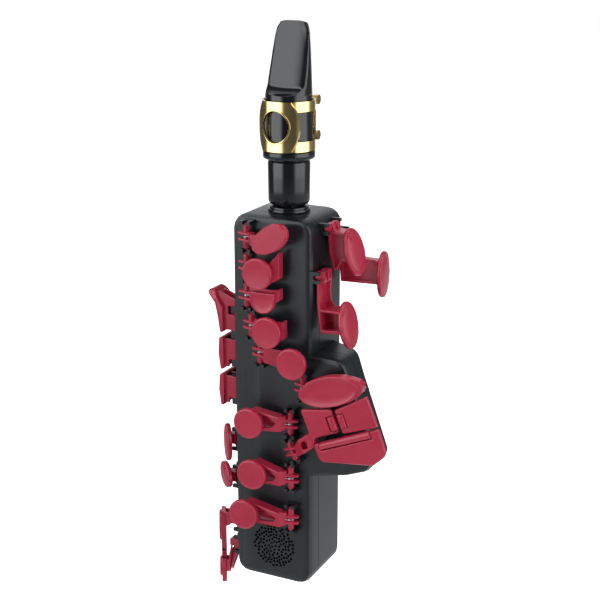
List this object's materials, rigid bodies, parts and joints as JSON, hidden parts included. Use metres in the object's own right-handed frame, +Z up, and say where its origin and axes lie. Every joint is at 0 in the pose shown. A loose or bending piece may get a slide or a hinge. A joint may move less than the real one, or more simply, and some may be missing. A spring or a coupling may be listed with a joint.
{
  "type": "digital wind controller",
  "caption": "Slim box-shaped electronic saxophone with sprung finger, palm and side keys, a raised key table, a speaker grille and a real mouthpiece with ligature and reed.",
  "frame": {"origin": "centre of the casing's flat foot", "axes": "+Z up along the casing to the mouthpiece, -Y out of the face with the finger keys, +X to the side with the low key table"},
  "size_m": [0.113, 0.0729, 0.3158],
  "materials": {
    "casing": "fine matt moulded plastic",
    "keys": "satin moulded plastic",
    "mouthpiece": "polished",
    "brass": "polished and lacquered",
    "reed": "plain cane",
    "cork": "plain cork",
    "steel": "plated",
    "soft": "matt",
    "board": "solder resist",
    "cell": "foil wrapped"
  },
  "bodies": {
    "casing": {"front_shell": "casing", "back_shell": "casing", "case_screw_1": "steel", "case_screw_2": "steel", "case_screw_3": "steel", "case_screw_4": "steel", "neck_collar": "mouthpiece", "neck_tube": "mouthpiece", "cork_sleeve": "cork", "thumb_rest": "soft", "thumb_hook": "casing", "strap_ring": "steel", "main_board": "board", "battery": "cell", "speaker": "soft", "breath_sensor": "cell", "breath_tube": "soft", "usb_socket": "steel", "headphone_socket": "soft"},
    "key_c": {"key_c": "keys"},
    "key_b": {"key_b": "keys"},
    "key_b_flat_side": {"key_b_flat_side": "keys"},
    "key_a": {"key_a": "keys"},
    "key_g": {"key_g": "keys"},
    "key_g_sharp": {"key_g_sharp": "keys"},
    "key_f": {"key_f": "keys"},
    "key_e": {"key_e": "keys"},
    "key_d": {"key_d": "keys"},
    "low_key_c_sharp": {"low_key_c_sharp": "keys"},
    "low_key_b": {"low_key_b": "keys"},
    "low_key_b_flat": {"low_key_b_flat": "keys"},
    "side_key_high_e": {"side_key_high_e": "keys"},
    "side_key_c": {"side_key_c": "keys"},
    "side_key_b_flat": {"side_key_b_flat": "keys"},
    "side_key_high_f_sharp": {"side_key_high_f_sharp": "keys"},
    "side_key_f_sharp": {"side_key_f_sharp": "keys"},
    "low_key_e_flat": {"low_key_e_flat": "keys"},
    "low_key_c": {"low_key_c": "keys"},
    "palm_key_d": {"palm_key_d": "keys"},
    "palm_key_e_flat": {"palm_key_e_flat": "keys"},
    "palm_key_f": {"palm_key_f": "keys"},
    "octave_key": {"octave_key": "keys"},
    "roller_low_c_sharp": {"roller_low_c_sharp": "keys"},
    "roller_low_b": {"roller_low_b": "keys"},
    "roller_low_b_flat": {"roller_low_b_flat": "keys"},
    "roller_low_e_flat": {"roller_low_e_flat": "keys"},
    "roller_low_c": {"roller_low_c": "keys"},
    "power_button": {"power_button": "keys"},
    "mouthpiece": {"mouthpiece": "mouthpiece", "reed": "reed", "ligature": "brass"},
    "ligature_screw_1": {"ligature_screw_1": "brass"},
    "ligature_screw_2": {"ligature_screw_2": "brass"}
  },
  "joints": [
    {"name": "key_c_hinge", "type": "hinge", "parent": "casing", "child": "key_c", "pos_m": [-0.01169, -0.024, 0.19479], "axis": [0, 0, 1], "range_deg": [0, 5], "stiffness_Nm_per_rad": 0.06, "springref_deg": -8.59},
    {"name": "key_b_hinge", "type": "hinge", "parent": "casing", "child": "key_b", "pos_m": [-0.01169, -0.024, 0.17964], "axis": [0, 0, 1], "range_deg": [0, 5], "stiffness_Nm_per_rad": 0.06, "springref_deg": -8.59},
    {"name": "key_b_flat_side_hinge", "type": "hinge", "parent": "casing", "child": "key_b_flat_side", "pos_m": [-0.01169, -0.024, 0.16369], "axis": [0, 0, 1], "range_deg": [0, 5], "stiffness_Nm_per_rad": 0.06, "springref_deg": -8.59},
    {"name": "key_a_hinge", "type": "hinge", "parent": "casing", "child": "key_a", "pos_m": [-0.00928, -0.024, 0.14779], "axis": [0, 0, 1], "range_deg": [0, 5], "stiffness_Nm_per_rad": 0.06, "springref_deg": -8.59},
    {"name": "key_g_hinge", "type": "hinge", "parent": "casing", "child": "key_g", "pos_m": [-0.00419, -0.024, 0.13359], "axis": [0, 0, 1], "range_deg": [0, 5], "stiffness_Nm_per_rad": 0.06, "springref_deg": -8.59},
    {"name": "key_g_sharp_hinge", "type": "hinge", "parent": "casing", "child": "key_g_sharp", "pos_m": [0.02061, -0.024, 0.1175], "axis": [0, 0, 1], "range_deg": [0, 5], "stiffness_Nm_per_rad": 0.06, "springref_deg": -8.59},
    {"name": "key_f_hinge", "type": "hinge", "parent": "casing", "child": "key_f", "pos_m": [0.01342, -0.024, 0.0964], "axis": [0, 0, -1], "range_deg": [0, 5], "stiffness_Nm_per_rad": 0.06, "springref_deg": -8.59},
    {"name": "key_e_hinge", "type": "hinge", "parent": "casing", "child": "key_e", "pos_m": [0.01342, -0.024, 0.0653], "axis": [0, 0, -1], "range_deg": [0, 5], "stiffness_Nm_per_rad": 0.06, "springref_deg": -8.59},
    {"name": "key_d_hinge", "type": "hinge", "parent": "casing", "child": "key_d", "pos_m": [0.01342, -0.024, 0.0412], "axis": [0, 0, -1], "range_deg": [0, 5], "stiffness_Nm_per_rad": 0.06, "springref_deg": -8.59},
    {"name": "low_key_c_sharp_hinge", "type": "hinge", "parent": "casing", "child": "low_key_c_sharp", "pos_m": [0.01461, -0.024, 0.08095], "axis": [-0.3827, 0, 0.9239], "range_deg": [0, 4], "stiffness_Nm_per_rad": 0.08, "springref_deg": -8.59},
    {"name": "low_key_b_hinge", "type": "hinge", "parent": "casing", "child": "low_key_b", "pos_m": [0.03473, -0.024, 0.10142], "axis": [-0.3827, 0, 0.9239], "range_deg": [0, 5], "stiffness_Nm_per_rad": 0.08, "springref_deg": -8.59},
    {"name": "low_key_b_flat_hinge", "type": "hinge", "parent": "casing", "child": "low_key_b_flat", "pos_m": [0.03678, -0.024, 0.08602], "axis": [-0.3827, 0, 0.9239], "range_deg": [0, 5], "stiffness_Nm_per_rad": 0.08, "springref_deg": -8.59},
    {"name": "side_key_high_e_hinge", "type": "hinge", "parent": "casing", "child": "side_key_high_e", "pos_m": [-0.02505, -0.012, 0.14402], "axis": [0, 0, -1], "range_deg": [0, 5], "stiffness_Nm_per_rad": 0.06, "springref_deg": -8.59},
    {"name": "side_key_c_hinge", "type": "hinge", "parent": "casing", "child": "side_key_c", "pos_m": [-0.02505, -0.012, 0.12712], "axis": [0, 0, -1], "range_deg": [0, 5], "stiffness_Nm_per_rad": 0.06, "springref_deg": -8.59},
    {"name": "side_key_b_flat_hinge", "type": "hinge", "parent": "casing", "child": "side_key_b_flat", "pos_m": [-0.02505, -0.012, 0.10527], "axis": [0, 0, -1], "range_deg": [0, 5], "stiffness_Nm_per_rad": 0.06, "springref_deg": -8.59},
    {"name": "side_key_high_f_sharp_hinge", "type": "hinge", "parent": "casing", "child": "side_key_high_f_sharp", "pos_m": [-0.02505, -0.012, 0.07656], "axis": [0, 0, -1], "range_deg": [0, 5], "stiffness_Nm_per_rad": 0.06, "springref_deg": -8.59},
    {"name": "side_key_f_sharp_hinge", "type": "hinge", "parent": "casing", "child": "side_key_f_sharp", "pos_m": [-0.02505, -0.012, 0.05423], "axis": [0, 0, -1], "range_deg": [0, 5], "stiffness_Nm_per_rad": 0.06, "springref_deg": -8.59},
    {"name": "low_key_e_flat_hinge", "type": "hinge", "parent": "casing", "child": "low_key_e_flat", "pos_m": [-0.02505, -0.012, 0.026], "axis": [0, 0, -1], "range_deg": [0, 5], "stiffness_Nm_per_rad": 0.06, "springref_deg": -8.59},
    {"name": "low_key_c_hinge", "type": "hinge", "parent": "casing", "child": "low_key_c", "pos_m": [-0.02505, -0.012, 0.01244], "axis": [0, 0, -1], "range_deg": [0, 5], "stiffness_Nm_per_rad": 0.06, "springref_deg": -8.59},
    {"name": "palm_key_d_hinge", "type": "hinge", "parent": "casing", "child": "palm_key_d", "pos_m": [0.02505, -0.01125, 0.17576], "axis": [0, 1, 0], "range_deg": [0, 4], "stiffness_Nm_per_rad": 0.06, "springref_deg": -8.59},
    {"name": "palm_key_e_flat_hinge", "type": "hinge", "parent": "casing", "child": "palm_key_e_flat", "pos_m": [0.02505, -0.0001, 0.19889], "axis": [0, 1, 0], "range_deg": [0, 4], "stiffness_Nm_per_rad": 0.06, "springref_deg": -8.59},
    {"name": "palm_key_f_hinge", "type": "hinge", "parent": "casing", "child": "palm_key_f", "pos_m": [0.02505, 0.0126, 0.19203], "axis": [0, 1, 0], "range_deg": [0, 4], "stiffness_Nm_per_rad": 0.06, "springref_deg": -8.59},
    {"name": "octave_key_hinge", "type": "hinge", "parent": "casing", "child": "octave_key", "pos_m": [0, 0.024, 0.18399], "axis": [-1, 0, 0], "range_deg": [0, 5], "stiffness_Nm_per_rad": 0.06, "springref_deg": -8.59},
    {"name": "roller_low_c_sharp_spin", "type": "hinge", "parent": "low_key_c_sharp", "child": "roller_low_c_sharp", "pos_m": [0.04116, -0.0315, 0.10395], "axis": [-0.3827, 0, 0.9239], "continuous": true},
    {"name": "roller_low_b_spin", "type": "hinge", "parent": "low_key_b", "child": "roller_low_b", "pos_m": [0.04652, -0.0315, 0.10617], "axis": [-0.3827, 0, 0.9239], "continuous": true},
    {"name": "roller_low_b_flat_spin", "type": "hinge", "parent": "low_key_b_flat", "child": "roller_low_b_flat", "pos_m": [0.04847, -0.0315, 0.09595], "axis": [0.9239, 0, 0.3827], "continuous": true},
    {"name": "roller_low_e_flat_spin", "type": "hinge", "parent": "low_key_e_flat", "child": "roller_low_e_flat", "pos_m": [-0.03739, -0.00781, 0.00689], "axis": [-0.4695, 0.8829, 0], "continuous": true},
    {"name": "roller_low_c_spin", "type": "hinge", "parent": "low_key_c", "child": "roller_low_c", "pos_m": [-0.03739, -0.00781, 0.00229], "axis": [-0.4695, 0.8829, 0], "continuous": true},
    {"name": "power_button_press", "type": "slide", "parent": "casing", "child": "power_button", "axis": [0, -1, 0], "range_m": [0, 0.0008], "stiffness_N_per_m": 400, "springref_m": -0.001},
    {"name": "mouthpiece_slide", "type": "slide", "parent": "casing", "child": "mouthpiece", "axis": [0, 0, 1], "range_m": [-0.0004, 0.01]},
    {"name": "ligature_screw_1_turn", "type": "hinge", "parent": "mouthpiece", "child": "ligature_screw_1", "pos_m": [0.0008, 0.017, 0.2427], "axis": [1, 0, 0], "continuous": true},
    {"name": "ligature_screw_2_turn", "type": "hinge", "parent": "mouthpiece", "child": "ligature_screw_2", "pos_m": [0.0008, 0.017, 0.2612], "axis": [1, 0, 0], "continuous": true}
  ]
}
